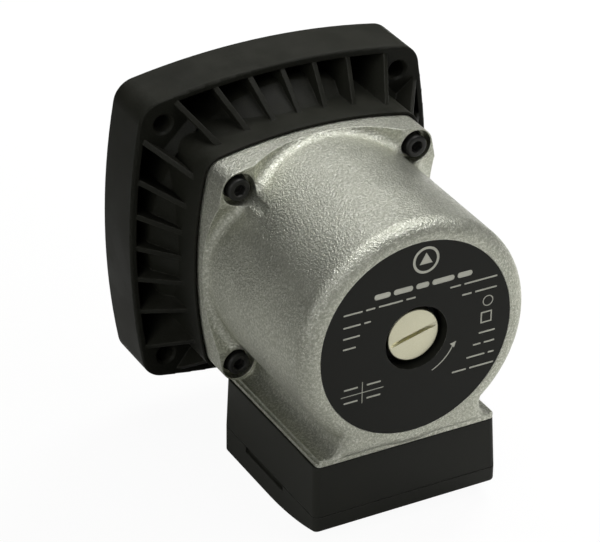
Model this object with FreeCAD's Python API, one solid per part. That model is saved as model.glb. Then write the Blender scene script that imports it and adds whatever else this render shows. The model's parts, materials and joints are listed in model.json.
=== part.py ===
import FreeCAD, Part
import math
import os

# Wet-rotor circulator pump head, in millimetres, +Z up.
# The pump axis is Y.  The mounting face of the casing lies at y = 0 and the motor points towards -Y.
# Every place along the axis is given as its distance ahead of the mounting face, so y = -ahead.

Vector = FreeCAD.Vector

# ---- fits ----
running_gap = 0.03        # radial clearance of a shaft in its bearing
thread_gap = 0.08         # radial clearance of the vent plug in its neck
loose_gap = 0.35          # between the removable cover and the box
seat_gap = 0.15           # between a part and the recess that it drops into

# ---- casing: moulded flange with ribs round a central drum ----
casing_half = 60.0        # from the axis to the middle of a side
casing_corner_inset = 13.3   # from a side to the centre of its corners' radius and fixing hole
casing_corner_radius = 9.1
casing_depth = 22.0       # mounting face to the front edge of the rim
rim_wall = 2.4
floor_thickness = 5.0
edge_round = 0.9          # rounding of the moulded outer edges
fixing_hole_radius = 3.25
fixing_hole_bevel = 0.8
pad_inboard = 6.8         # fixing hole centre to the flat pad's inner edge
pad_ramp = 3.4            # rise of the ramp that joins a pad to the drum
rib_thickness = 1.9
rib_step_angle = 12.5     # angle between neighbouring ribs of one side
ribs_each_way = 3         # ribs on each side of a side's middle rib
rib_rise = 13.2           # of a side's middle rib, from the rim to the drum
drum_margin = 1.3         # drum wall outside the motor flange
drum_front = 44.0         # joint plane between drum and motor
drum_lip_height = 0.9
drum_lip_gap = 0.45
shoulder_margin = 7.4     # round shoulder under the ribs, outside the motor flange
shoulder_height = 22.5
shoulder_top = 33.0
shoulder_top_margin = 1.4
shoulder_round = 1.2
chamber_wall = 11.6       # between the chamber and the shoulder
chamber_depth = 31.0
throat_margin = 2.8       # seat of the bearing plate round the throat
face_seal_margin = 4.4    # from the chamber to the middle of the seal in the mounting face
face_seal_section = 2.4
face_groove_margin = 0.35
face_groove_depth = 2.6
can_seal_margin = 2.5     # from the can flange's edge to the middle of its seal
can_seal_section = 2.4
seal_groove_gap = 0.1     # on each side of the seal

# ---- stator housing: die-cast aluminium ----
flange_bulge = 1.4        # mid-side of the flange outside the round body
screw_outboard = 5.56     # motor screws stand this far outside the round body
flange_corner_radius = 6.6
flange_thickness = 12.3   # at the ears that carry the screws
flange_mid_thickness = 4.4   # at the middle of a side
dish_radius = 57.0        # hollow of the flange's front along each side
body_radius = 43.8
body_front = 119.1
shoulder_fillet = 5.5
web_fillet = 3.4          # between the flange and the round body
housing_wall = 4.3
front_wall = 5.6
foot_inset = 0.5          # foot narrower than the terminal box on each side
foot_thickness = 2.6
foot_drop = 0.7           # foot's underside below the round body
foot_step = 0.9           # the upper half of the foot's edge is set in by this
foot_back = 48.3
foot_setback = 3.9        # foot's front edge behind the body's front
skirt_overlap = 1.1       # how far the skirt runs up past the channels
channel_radius = 7.2      # clearance channel ahead of each lower screw
lead_slot_half = 9.0
lead_slot_back = 54.4
lead_slot_front = 61.6

# ---- motor screws ----
screw_radius = 2.5
screw_head_radius = 4.25
screw_head_height = 5.0
screw_sink = 5.0          # depth of the counterbore down to the washer
screw_seat_radius = 6.1
washer_radius = 4.8
washer_thickness = 0.9
screw_socket_across = 4.0
screw_socket_depth = 3.0
screw_length = 16.0
screw_clearance = 0.3     # round the shank in its holes
washer_clearance = 0.2
insert_wall = 1.1
insert_length = 9.0
insert_groove = 0.5

# ---- can, bearings and rotor ----
can_inner_radius = 16.8
can_wall = 0.5
can_flange_margin = 2.1   # can flange wider than the housing's bore
can_flange_thickness = 1.0
can_setback = 10.6        # can's nose behind the body's front
neck_wall = 1.1
neck_setback = 6.1
neck_bore_radius = 7.0
plate_margin = 4.8        # bearing plate inside the can's flange
plate_thickness = 1.2
plate_hub_wall = 2.6
plate_vent_radius = 1.6
plate_vent_circle = 21.0
plate_setback = 1.7       # rear bearing stands proud of the plate
plate_vent_count = 6
bearing_radius = 8.0
rear_bearing_length = 10.7
front_bearing_length = 6.5
nose_gap = 0.5            # front bearing behind the can's nose
bearing_bevel = 0.4
thrust_radius = 11.5
thrust_thickness = 2.8
stack_setback = 18.0      # stack's back ahead of the joint plane
stack_nose = 10.5         # stack's front behind the can's nose
rotor_gap = 0.9           # between rotor and can
core_gap = 0.3            # between can and stator
rotor_sleeve = 0.35
rotor_ring_thickness = 2.0
rotor_ring_inner = 9.0
bar_count = 18
bar_radius = 1.2
bar_depth = 2.5           # bar centres inside the rotor's surface
shaft_radius = 4.0
shaft_back = 14.0
shaft_setback = 1.5       # shaft's end behind the can's nose
shaft_slot = 1.2
shaft_bore_radius = 1.2
slot_count = 24
slot_depth = 11.0
slot_width_angle = 8.0
tooth_tip = 2.9           # between stator bore and slots
coil_margin = 6.0         # end turns inside the housing's bore
insulator_margin = 3.0
coil_overhang = 7.4
slot_mouth = 1.2
liner_thickness = 0.35

# ---- impeller ----
impeller_margin = 5.0     # between the impeller and the casing's throat
impeller_plate = 1.8
impeller_plate_back = 34.0
blade_height = 12.0
blade_count = 7
blade_thickness = 1.4
blade_inner_radius = 14.5
blade_sweep_angle = 62.0
eye_radius = 14.2
eye_wall = 1.4
eye_length = 8.5
hub_wall = 3.6
hub_length = 2.5
cone_wall = 1.8
cone_length = 4.0

# ---- vent plug and nameplate ----
plug_recess_radius = 12.0
plug_head_radius = 9.85
plug_head_thickness = 2.9
plug_sink = 2.1           # plug's face behind the body's front
plug_slot_width = 1.7
plug_slot_depth = 1.5
plug_slot_angle = 14.0
plug_engagement = 3.6     # length of its thread in the neck
plug_relief = 0.9
plug_seal_gap = 0.08
nameplate_margin = 7.1    # ring of bare housing round the nameplate
nameplate_thickness = 0.5
collar_depth = 5.0        # nameplate's collar that lines the plug's recess
collar_wall = 0.5

# ---- terminal box ----
box_half = 35.7           # at the top, under the foot
box_flare = 0.6           # wider at the bottom, so that it leaves its mould
box_back_flare = 0.4
box_front_flare = 1.3
gasket_thickness = 0.5
box_height = 19.4
box_wall = 2.2
box_edge_radius = 2.2
cover_seam = 0.25
cover_depth = 11.2
cover_curve_start = 81.0
cover_curve_radius = 122.0
cover_edge_radius = 1.3
cover_tongue = 3.0
cover_tongue_wall = 1.5
latch_back = 64.6
latch_front = 92.6
latch_height = 2.4
latch_depth = 1.2
inlet_ahead = 92.0
inlet_drop = 9.6          # inlet's axis below the top of the box
inlet_radius = 5.6
grommet_bore_radius = 3.6
grommet_rim = 1.4
box_screw_inset = 12.7
box_screw_ahead = 84.0
box_screw_radius = 2.0
box_screw_head_radius = 3.6
box_screw_head_height = 2.6
box_screw_reach = 7.0
box_post_drop = 3.0       # bosses of the box under their screws
box_screw_clearance = 0.2
thread_depth = 0.25       # holes of the tapping screws are smaller by this
cross_half = 2.0          # cross recess of the box screws
cross_width = 1.0
cross_depth = 1.2
block_rest = 1.5          # raised rest of the terminal block
block_half = 21.0
block_back = 65.5
block_front = 79.0
block_height = 11.0
pole_count = 5
pole_well_radius = 2.6
pole_screw_radius = 2.4
pole_well_floor = 3.0
wire_hole_radius = 1.7
pole_fence = 3.0
capacitor_radius = 9.0
capacitor_half_length = 24.0
capacitor_ahead = 102.0
capacitor_gap = 2.2       # capacitor below the ceiling of the box
clip_thickness = 0.9
clip_width = 9.0
lead_radius = 1.1
lead_bend = 4.0
lead_pitch = 6.0
earth_inset = 8.2
earth_ahead = 69.0

casing_corner = casing_half - casing_corner_inset
bore_radius = body_radius - housing_wall
flange_half = body_radius + flange_bulge
rib_slope = rib_rise / (casing_half - rim_wall - flange_half - drum_margin)
screw_pitch_half = (body_radius + screw_outboard) / math.sqrt(2)
shoulder_radius = flange_half + shoulder_margin
shoulder_top_radius = flange_half + shoulder_top_margin
chamber_radius = shoulder_radius - chamber_wall
face_seal_radius = chamber_radius + face_seal_margin
insert_radius = screw_radius + insert_wall
can_flange_radius = bore_radius + can_flange_margin
can_seal_radius = can_flange_radius - can_seal_margin
can_front = body_front - can_setback
plate_radius = can_flange_radius - plate_margin
throat_radius = plate_radius - throat_margin
impeller_radius = throat_radius - impeller_margin
neck_radius = bearing_radius + neck_wall
neck_front = body_front - neck_setback
plate_hub_radius = bearing_radius + plate_hub_wall
rear_bearing_back = drum_front - plate_setback
rear_bearing_front = rear_bearing_back + rear_bearing_length
front_bearing_front = can_front - nose_gap
front_bearing_back = front_bearing_front - front_bearing_length
shaft_front = can_front - shaft_setback
stack_back = drum_front + stack_setback
stack_front = can_front - stack_nose
rotor_radius = can_inner_radius - rotor_gap
bar_circle = rotor_radius - bar_depth
stator_bore_radius = can_inner_radius + can_wall + core_gap
coil_inner_radius = stator_bore_radius + tooth_tip
coil_outer_radius = bore_radius - coil_margin
hub_radius = shaft_radius + hub_wall
cone_radius = shaft_radius + cone_wall
plug_face = body_front - plug_sink
plug_shank_back = neck_front - plug_engagement
nameplate_radius = body_radius - nameplate_margin
foot_half = box_half - foot_inset
foot_bottom = -body_radius - foot_drop
foot_top = foot_bottom + foot_thickness
foot_front = body_front - foot_setback
skirt_top = -screw_pitch_half + channel_radius - skirt_overlap
box_back = foot_back
box_front = foot_front - 0.5
box_top = foot_bottom - gasket_thickness
box_bottom = box_top - box_height
box_ceiling = box_top - box_wall
box_screw_x = box_half - box_screw_inset
earth_x = -box_half + earth_inset
inlet_z = box_top - inlet_drop
capacitor_z = box_ceiling - capacitor_gap - capacitor_radius
lead_top = -coil_outer_radius - 0.2
low_half = box_half + box_flare
low_back = box_back - box_back_flare
low_front = box_front + box_front_flare
cover_top = box_bottom - cover_seam
cover_bottom = box_bottom - cover_depth
flange_front = drum_front + flange_thickness
corner_signs = [(1, 1), (-1, 1), (-1, -1), (1, -1)]


# ---- solids about axes parallel to the pump axis ----
def disc(radius, back, front, x=0.0, z=0.0):
    return Part.makeCylinder(radius, front - back, Vector(x, -front, z), Vector(0, 1, 0))


def ring(outer, inner, back, front, x=0.0, z=0.0):
    return disc(outer, back, front, x, z).cut(disc(inner, back - 1, front + 1, x, z))


def o_ring(middle_radius, section, ahead):
    return Part.makeTorus(middle_radius, section / 2, Vector(0, -ahead, 0), Vector(0, 1, 0))


def turned(points):
    """A solid of revolution from (radius, ahead) points."""
    outline = Part.makePolygon([Vector(r, -a, 0) for r, a in points + points[:1]])
    return Part.Face(outline).revolve(Vector(0, 0, 0), Vector(0, 1, 0), 360)


def block(x_low, x_high, back, front, z_low, z_high):
    return Part.makeBox(x_high - x_low, front - back, z_high - z_low, Vector(x_low, -front, z_low))


def post(radius, x, ahead, z_low, z_high):
    return Part.makeCylinder(radius, z_high - z_low, Vector(x, -ahead, z_low), Vector(0, 0, 1))


def turn_about_axis(shape, degrees):
    copy = shape.copy()
    copy.rotate(Vector(0, 0, 0), Vector(0, 1, 0), -degrees)
    return copy


def union(shapes):
    return shapes[0].multiFuse(shapes[1:]).removeSplitter() if len(shapes) > 1 else shapes[0]


# ---- the bulging square outline of the casing and of the motor flange ----
def side_arc_radius(half, corner, radius):
    bulge = half - corner
    return (corner ** 2 + bulge ** 2 - radius ** 2) / (2 * (bulge - radius))


def wall_distance(half, corner, radius, degrees):
    """Distance from the axis to the side's arc, measured at an angle from the side's middle."""
    arc = side_arc_radius(half, corner, radius)
    offset = half - arc
    angle = math.radians(degrees)
    return offset * math.cos(angle) + math.sqrt(arc ** 2 - (offset * math.sin(angle)) ** 2)


def bulged_square(half, corner, radius, back, front):
    arc = side_arc_radius(half, corner, radius)
    middle = half - arc
    tangent = math.atan2(corner, corner - middle)
    edges = []
    for quarter in range(4):
        turn = quarter * math.pi / 2

        def place(x, z):
            return Vector(x * math.cos(turn) - z * math.sin(turn), -front,
                          x * math.sin(turn) + z * math.cos(turn))

        def on_side(angle):
            return place(middle + arc * math.cos(angle), arc * math.sin(angle))

        def on_corner(angle):
            return place(corner + radius * math.cos(angle), corner + radius * math.sin(angle))

        edges.append(Part.Arc(on_side(-tangent), on_side(0), on_side(tangent)).toShape())
        other = math.pi / 2 - tangent
        edges.append(Part.Arc(on_corner(tangent), on_corner(math.pi / 4), on_corner(other)).toShape())
    face = Part.Face(Part.Wire(edges))
    return face.extrude(Vector(0, front - back, 0))


def casing_outline(back, front, inset=0.0):
    return bulged_square(casing_half - inset, casing_corner, casing_corner_radius - inset, back, front)


def flange_outline(back, front, outset=0.0):
    return bulged_square(flange_half + outset, screw_pitch_half, flange_corner_radius + outset, back, front)


def is_at(edge, ahead):
    return all(abs(vertex.Y + ahead) < 1e-4 for vertex in edge.Vertexes)


# ---- casing ----
def make_ribs():
    ribs = []
    for side in range(4):
        for step in range(-ribs_each_way, ribs_each_way + 1):
            angle = step * rib_step_angle
            rim = wall_distance(casing_half - rim_wall, casing_corner, casing_corner_radius - rim_wall, angle)
            drum = wall_distance(flange_half + drum_margin, screw_pitch_half,
                                 flange_corner_radius + drum_margin, angle)
            top = casing_depth + (rim - drum) * rib_slope
            outline = [(drum - 2, floor_thickness - 1), (rim + 1, floor_thickness - 1),
                       (rim + 1, casing_depth), (rim, casing_depth), (drum, top), (drum - 2, top)]
            corners = [Vector(r, -a, -rib_thickness / 2) for r, a in outline + outline[:1]]
            rib = Part.Face(Part.makePolygon(corners)).extrude(Vector(0, 0, rib_thickness))
            ribs.append(turn_about_axis(rib, 90 * side + angle))
    return ribs


def make_pads():
    half_angle = 45 - ribs_each_way * rib_step_angle
    spread = math.tan(math.radians(half_angle))
    hole_distance = casing_corner * math.sqrt(2)
    inner = hole_distance - pad_inboard
    outer = hole_distance + 2 * casing_corner_radius
    pads = []
    for quarter in range(4):
        flat = [(inner - pad_ramp, spread * (inner - pad_ramp)), (outer, spread * outer)]
        flat += [(d, -p) for d, p in reversed(flat)]
        corners = [Vector(d, -floor_thickness + 1, p) for d, p in flat + flat[:1]]
        pad = Part.Face(Part.makePolygon(corners)).extrude(Vector(0, floor_thickness - 1 - casing_depth, 0))
        ramp_points = [(inner, casing_depth), (inner - pad_ramp, casing_depth),
                       (inner - pad_ramp, casing_depth + pad_ramp)]
        width = spread * inner
        ramp_corners = [Vector(d, -a, -width) for d, a in ramp_points + ramp_points[:1]]
        ramp = Part.Face(Part.makePolygon(ramp_corners)).extrude(Vector(0, 0, 2 * width))
        pads += [turn_about_axis(shape, 45 + 90 * quarter) for shape in (pad, ramp)]
    return pads


def make_pump_casing():
    shell = casing_outline(0, casing_depth)
    outer_edges = [edge for edge in shell.Edges if is_at(edge, 0) or is_at(edge, casing_depth)]
    shell = shell.makeFillet(edge_round, outer_edges)
    shell = shell.cut(casing_outline(floor_thickness, casing_depth + 1, rim_wall))
    shoulder = turned([(throat_radius - 4, floor_thickness - 1), (shoulder_radius + 0.6, floor_thickness - 1),
                       (shoulder_radius, shoulder_height - shoulder_round),
                       (shoulder_radius - shoulder_round / 2, shoulder_height),
                       (shoulder_top_radius, shoulder_top),
                       (throat_radius - 4, shoulder_top)])
    drum = flange_outline(floor_thickness - 1, drum_front + drum_lip_height, drum_margin)
    lip_edges = [edge for edge in drum.Edges if is_at(edge, drum_front + drum_lip_height)]
    drum = drum.makeFillet(0.4, lip_edges)
    drum = drum.cut(flange_outline(drum_front, drum_front + drum_lip_height + 1, drum_lip_gap))
    inner_parts = [shoulder, drum] + make_ribs()
    pads = union(make_pads()).common(casing_outline(floor_thickness - 1, casing_depth + pad_ramp + 1, 0.5))
    casing = shell.multiFuse(inner_parts + [pads])

    groove_half = face_seal_section / 2 + face_groove_margin
    seal_half = can_seal_section / 2 + seal_groove_gap
    cuts = [disc(chamber_radius, -1, chamber_depth),
            disc(throat_radius, chamber_depth - 1, drum_front + 1),
            ring(face_seal_radius + groove_half, face_seal_radius - groove_half, -1, face_groove_depth),
            disc(plate_radius + seat_gap, drum_front - can_flange_thickness - plate_thickness, drum_front + 1),
            disc(can_flange_radius + seat_gap, drum_front - can_flange_thickness, drum_front + 1),
            ring(can_seal_radius + seal_half, can_seal_radius - seal_half,
                 drum_front - can_flange_thickness - can_seal_section, drum_front)]
    for sx, sz in corner_signs:
        x, z = sx * casing_corner, sz * casing_corner
        bevel = fixing_hole_bevel
        cuts.append(disc(fixing_hole_radius, -1, casing_depth + 1, x, z))
        cuts.append(Part.makeCone(fixing_hole_radius + bevel, fixing_hole_radius, bevel,
                                  Vector(x, -casing_depth, z), Vector(0, 1, 0)))
        x, z = sx * screw_pitch_half, sz * screw_pitch_half
        cuts.append(disc(insert_radius, drum_front - insert_length, drum_front + 1, x, z))
        cuts.append(disc(screw_radius + screw_clearance, drum_front - screw_length, drum_front, x, z))
    return casing.cut(cuts[0].multiFuse(cuts[1:]))


def make_casing_inserts():
    inserts = []
    for sx, sz in corner_signs:
        x, z = sx * screw_pitch_half, sz * screw_pitch_half
        insert = ring(insert_radius, screw_radius, drum_front - insert_length, drum_front, x, z)
        for groove in (0.35, 0.65):
            middle = drum_front - insert_length * groove
            half = insert_groove
            insert = insert.cut(ring(insert_radius + 1, insert_radius - half,
                                     middle - half, middle + half, x, z))
        inserts.append(insert)
    return Part.makeCompound(inserts)


# ---- stator housing ----
def dish_cutter():
    """What is hollowed out of the flange's top side: a cylinder that stops round the body."""
    top = flange_front + web_fillet + 1
    middle = drum_front + flange_mid_thickness + dish_radius
    room = block(-dish_radius, dish_radius, drum_front, top, body_radius / 2, 2 * flange_half)
    hollow = post(dish_radius, 0, middle, body_radius / 2 - 1, 2 * flange_half + 1).common(room)
    hollow = hollow.cut(disc(body_radius, drum_front - 1, top + 1))
    inner = [edge for edge in hollow.Edges
             if all(abs(math.hypot(v.X, v.Z) - body_radius) < 0.01 for v in edge.Vertexes)
             and edge.BoundBox.YMax > -(middle - dish_radius + 1)]
    return hollow.makeFillet(web_fillet, inner)


def make_flange():
    """Flange with a dished front: thick at the four ears, thin at mid-side, filleted to the body."""
    top = flange_front + web_fillet
    blank = flange_outline(drum_front, top).fuse(disc(body_radius, drum_front, body_front - shoulder_fillet))
    above = ring(3 * flange_half, body_radius, flange_front, top + 1)
    above = above.makeFillet(web_fillet, [edge for edge in above.Edges if is_at(edge, flange_front)
                                          and edge.BoundBox.XLength < 2 * body_radius + 1])
    cutter = dish_cutter()
    return blank.cut(above.multiFuse([turn_about_axis(cutter, 90 * side) for side in range(4)]))


def make_foot():
    """Plate that the terminal box hangs under; the upper half of its side edges is set in."""
    plate = block(-foot_half, foot_half, foot_back, foot_front, foot_bottom, foot_top)
    upright = [edge for edge in plate.Edges
               if is_at(edge, foot_front) and abs(edge.Vertexes[0].Z - edge.Vertexes[-1].Z) > 1]
    plate = plate.makeFillet(box_edge_radius - 0.4, upright)
    steps = [block(*sorted((side * (foot_half - foot_step), side * (foot_half + 1))), foot_back - 1,
                   foot_front + 1, (foot_top + foot_bottom) / 2, foot_top + 0.5) for side in (-1, 1)]
    return plate.cut(steps[0].fuse(steps[1]))


def make_skirt():
    """The block between the round body and the foot, with a channel ahead of each lower screw."""
    drop = body_front - foot_front
    skirt = block(-foot_half, foot_half, foot_back, body_front, foot_top, skirt_top)
    front_edges = [edge for edge in skirt.Edges
                   if is_at(edge, body_front) and all(v.Z < foot_top + 0.1 for v in edge.Vertexes)]
    skirt = skirt.makeFillet(drop, front_edges)
    steps = 5
    flare_points = []
    for step in range(steps + 1):
        angle = math.radians(90 * step / steps)
        flare_points.append((channel_radius + drop * (1 - math.cos(angle)),
                             body_front - drop + drop * math.sin(angle)))
    flare_points += [(flare_points[-1][0], body_front + 1), (0, body_front + 1), (0, body_front - drop)]
    flare = turned(flare_points)
    cuts = []
    for side in (-1, 1):
        x, z = side * screw_pitch_half, -screw_pitch_half
        cuts.append(disc(channel_radius, flange_front - screw_sink, body_front + 1, x, z))
        moved = flare.copy()
        moved.translate(Vector(x, 0, z))
        cuts.append(moved)
    return skirt.cut(cuts[0].multiFuse(cuts[1:]))


def make_stator_housing():
    body = disc(body_radius, drum_front, body_front)
    body = body.makeFillet(shoulder_fillet, [edge for edge in body.Edges if is_at(edge, body_front)])
    housing = make_flange().multiFuse([body, make_skirt(), make_foot()])

    cuts = [block(-2 * body_radius, 2 * body_radius, foot_back, body_front + 1, 2 * foot_bottom, foot_bottom),
            disc(bore_radius, drum_front - 1, body_front - front_wall),
            disc(plug_recess_radius + collar_wall + seat_gap, body_front - front_wall - 1, body_front + 1),
            disc(nameplate_radius + seat_gap, body_front - nameplate_thickness, body_front + 1),
            block(-lead_slot_half, lead_slot_half, lead_slot_back, lead_slot_front,
                  foot_bottom - 1, lead_slot_half - bore_radius)]
    for sx, sz in corner_signs:
        x, z = sx * screw_pitch_half, sz * screw_pitch_half
        cuts.append(disc(screw_radius + screw_clearance, drum_front - 1, flange_front, x, z))
        cuts.append(disc(screw_seat_radius, flange_front - screw_sink, flange_front + 12, x, z))
    for side in (-1, 1):
        cuts.append(post(box_screw_radius - thread_depth, side * box_screw_x, box_screw_ahead,
                         foot_bottom - 1, foot_bottom + box_screw_reach - box_wall))
    cuts.append(post(box_screw_radius - thread_depth, earth_x, earth_ahead, foot_bottom - 1, foot_top - 0.4))
    return housing.cut(cuts[0].multiFuse(cuts[1:]))


def make_cap_screw(x, z):
    seat = flange_front - screw_sink + washer_thickness
    head = disc(screw_head_radius, seat, seat + screw_head_height, x, z)
    rim = [edge for edge in head.Edges if is_at(edge, seat + screw_head_height)]
    head = head.makeFillet(0.5, rim)
    socket = Part.makePolygon([Vector(x + screw_socket_across / math.sqrt(3) * math.cos(math.radians(60 * i)),
                                      -(seat + screw_head_height) - 1,
                                      z + screw_socket_across / math.sqrt(3) * math.sin(math.radians(60 * i)))
                               for i in range(7)])
    socket = Part.Face(socket).extrude(Vector(0, screw_socket_depth + 1, 0))
    shank = disc(screw_radius, drum_front - screw_length + 2, seat + 0.5, x, z)
    return head.cut(socket).fuse(shank).removeSplitter()


def make_housing_screws():
    return Part.makeCompound([make_cap_screw(sx * screw_pitch_half, sz * screw_pitch_half)
                              for sx, sz in corner_signs])


def make_screw_washers():
    back = flange_front - screw_sink
    return Part.makeCompound([ring(washer_radius, screw_radius + washer_clearance, back,
                                   back + washer_thickness, sx * screw_pitch_half, sz * screw_pitch_half)
                              for sx, sz in corner_signs])


# ---- motor: stator ----
def make_slots(inner, outer, angle, back, front):
    """Wedge-shaped winding slots, evenly round the bore."""
    half = math.radians(angle / 2)
    across, along = math.sin(half), math.cos(half)
    points = [(inner * along, -inner * across), (outer * along, -outer * across),
              (outer * along, outer * across), (inner * along, inner * across)]
    corners = [Vector(x, -front, z) for x, z in points + points[:1]]
    wedge = Part.Face(Part.makePolygon(corners)).extrude(Vector(0, front - back, 0))
    return [turn_about_axis(wedge, 360 * slot / slot_count) for slot in range(slot_count)]


def make_stator_core():
    core = ring(bore_radius, stator_bore_radius, stack_back, stack_front)
    slots = make_slots(coil_inner_radius, coil_inner_radius + slot_depth, slot_width_angle,
                       stack_back - 1, stack_front + 1)
    mouth = block(stator_bore_radius - 1, coil_inner_radius + 0.5, stack_back - 1, stack_front + 1,
                  -slot_mouth / 2, slot_mouth / 2)
    mouths = [turn_about_axis(mouth, 360 * slot / slot_count) for slot in range(slot_count)]
    return core.cut(slots[0].multiFuse(slots[1:] + mouths))


def make_stator_windings():
    """Copper in the slots, joined by a bundle of end turns at each end of the stack."""
    sides = make_slots(coil_inner_radius + liner_thickness, coil_inner_radius + slot_depth - liner_thickness,
                       slot_width_angle - 1.5, stack_back - liner_thickness - 1,
                       stack_front + liner_thickness + 1)
    bundles = []
    for back, front in ((stack_back - coil_overhang, stack_back - liner_thickness),
                        (stack_front + liner_thickness, stack_front + coil_overhang)):
        bundle = ring(coil_outer_radius, coil_inner_radius, back, front)
        outer_rims = [edge for edge in bundle.Edges if is_at(edge, back) or is_at(edge, front)]
        bundles.append(bundle.makeFillet(1.6, outer_rims))
    return bundles[0].multiFuse(bundles[1:] + sides)


def make_end_insulators():
    discs = []
    slots = make_slots(coil_inner_radius, coil_inner_radius + slot_depth, slot_width_angle,
                       stack_back - 2, stack_front + 2)
    openings = slots[0].multiFuse(slots[1:])
    for back, front in ((stack_back - liner_thickness, stack_back), (stack_front, stack_front + liner_thickness)):
        discs.append(ring(coil_outer_radius + insulator_margin, coil_inner_radius - 1, back, front).cut(openings))
    return Part.makeCompound(discs)


# ---- motor: can, bearings and seals ----
def make_rotor_can():
    outer = can_inner_radius + can_wall
    back = drum_front - can_flange_thickness
    neck = neck_radius + can_wall
    return turned([(can_inner_radius, back), (can_flange_radius, back), (can_flange_radius, drum_front),
                   (outer, drum_front), (outer, can_front), (neck, can_front), (neck, neck_front - 0.5),
                   (neck_radius, neck_front - 0.5), (neck_radius, can_front - can_wall),
                   (can_inner_radius, can_front - can_wall)])


def make_vent_neck():
    """Threaded sleeve in the can's nose: it carries the front bearing and takes the vent plug."""
    return turned([(bearing_radius, front_bearing_back), (neck_radius, front_bearing_back),
                   (neck_radius, neck_front), (neck_bore_radius, neck_front),
                   (neck_bore_radius, front_bearing_front), (bearing_radius, front_bearing_front)])


def make_bearing_plate():
    back = drum_front - can_flange_thickness - plate_thickness
    front = drum_front - can_flange_thickness
    plate = turned([(bearing_radius, back), (plate_radius, back), (plate_radius, front),
                    (plate_hub_radius, front), (plate_hub_radius, rear_bearing_front),
                    (bearing_radius, rear_bearing_front)])
    vents = []
    for vent in range(plate_vent_count):
        angle = 2 * math.pi * vent / plate_vent_count
        vents.append(disc(plate_vent_radius, back - 1, front + 1, plate_vent_circle * math.cos(angle),
                          plate_vent_circle * math.sin(angle)))
    return plate.cut(vents[0].multiFuse(vents[1:]))


def make_radial_bearing(back, front):
    bearing = ring(bearing_radius, shaft_radius + running_gap, back, front)
    return bearing.makeChamfer(bearing_bevel, [edge for edge in bearing.Edges
                                     if (is_at(edge, back) or is_at(edge, front))
                                     and edge.BoundBox.XLength > 2 * bearing_radius - 1])


def make_thrust_bearing():
    pad = ring(thrust_radius, shaft_radius + 1, rear_bearing_front, rear_bearing_front + thrust_thickness)
    groove = block(-thrust_radius - 1, thrust_radius + 1, rear_bearing_front + thrust_thickness - 0.6,
                   rear_bearing_front + thrust_thickness + 1, -0.8, 0.8)
    return pad.cut(groove.fuse(turn_about_axis(groove, 90)))


def make_neck_seal():
    return ring(plug_recess_radius, neck_radius + can_wall, can_front, neck_front - 2)


# ---- rotor ----
def make_shaft():
    shaft = disc(shaft_radius, shaft_back, shaft_front)
    shaft = shaft.makeChamfer(0.5, [edge for edge in shaft.Edges
                                    if is_at(edge, shaft_back) or is_at(edge, shaft_front)])
    slot = block(-shaft_radius - 1, shaft_radius + 1, shaft_front - shaft_slot, shaft_front + 1,
                 -shaft_slot / 2, shaft_slot / 2)
    return shaft.cut(disc(shaft_bore_radius, shaft_back - 1, shaft_front + 1).fuse(slot))


def make_rotor_core():
    core = ring(rotor_radius - rotor_sleeve, shaft_radius, stack_back, stack_front)
    bars = []
    for bar in range(bar_count):
        angle = 2 * math.pi * bar / bar_count
        bars.append(disc(bar_radius, stack_back - 1, stack_front + 1, bar_circle * math.cos(angle),
                         bar_circle * math.sin(angle)))
    return core.cut(bars[0].multiFuse(bars[1:]))


def make_rotor_cage():
    """Cast bars through the laminations, joined by a ring at each end."""
    parts = []
    for back, front in ((stack_back - rotor_ring_thickness, stack_back),
                        (stack_front, stack_front + rotor_ring_thickness)):
        parts.append(ring(rotor_radius - rotor_sleeve, rotor_ring_inner, back, front))
    for bar in range(bar_count):
        angle = 2 * math.pi * bar / bar_count
        parts.append(disc(bar_radius, stack_back, stack_front, bar_circle * math.cos(angle),
                          bar_circle * math.sin(angle)))
    return parts[0].multiFuse(parts[1:])


def make_rotor_sleeve():
    """Thin stainless cladding, closed over both ends of the core."""
    back = stack_back - rotor_ring_thickness
    front = stack_front + rotor_ring_thickness
    outer = rotor_radius
    inner = rotor_radius - rotor_sleeve
    rim = rotor_ring_inner
    return turned([(rim, back - rotor_sleeve), (outer, back - rotor_sleeve), (outer, front + rotor_sleeve),
                   (rim, front + rotor_sleeve), (rim, front), (inner, front), (inner, back), (rim, back)])


def make_thrust_collar():
    back = rear_bearing_front + thrust_thickness + loose_gap
    return ring(thrust_radius - 1.5, shaft_radius, back, stack_back - rotor_ring_thickness - rotor_sleeve)


# ---- impeller ----
def make_blade(turn):
    """One backward-swept vane: a band between two arcs of the same sweep."""
    def spiral(radius, share, half):
        angle = math.radians(turn + blade_sweep_angle * share)
        shift = half / radius
        return Vector(radius * math.cos(angle + shift), 0, radius * math.sin(angle + shift))

    inner, outer = blade_inner_radius, impeller_radius - 0.3
    middle = (inner + outer) / 2
    half = blade_thickness / 2
    edges = []
    for side in (-1, 1):
        points = [spiral(inner, 0, side * half), spiral(middle, 0.62, side * half), spiral(outer, 1, side * half)]
        edges.append(Part.Arc(*points).toShape())
    ends = [Part.LineSegment(edges[0].Vertexes[0].Point, edges[1].Vertexes[0].Point).toShape(),
            Part.LineSegment(edges[0].Vertexes[-1].Point, edges[1].Vertexes[-1].Point).toShape()]
    outline = Part.Wire(Part.__sortEdges__(edges + ends))
    blade = Part.Face(outline).extrude(Vector(0, -blade_height, 0))
    blade.translate(Vector(0, -(impeller_plate_back - blade_height), 0))
    return blade


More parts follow.
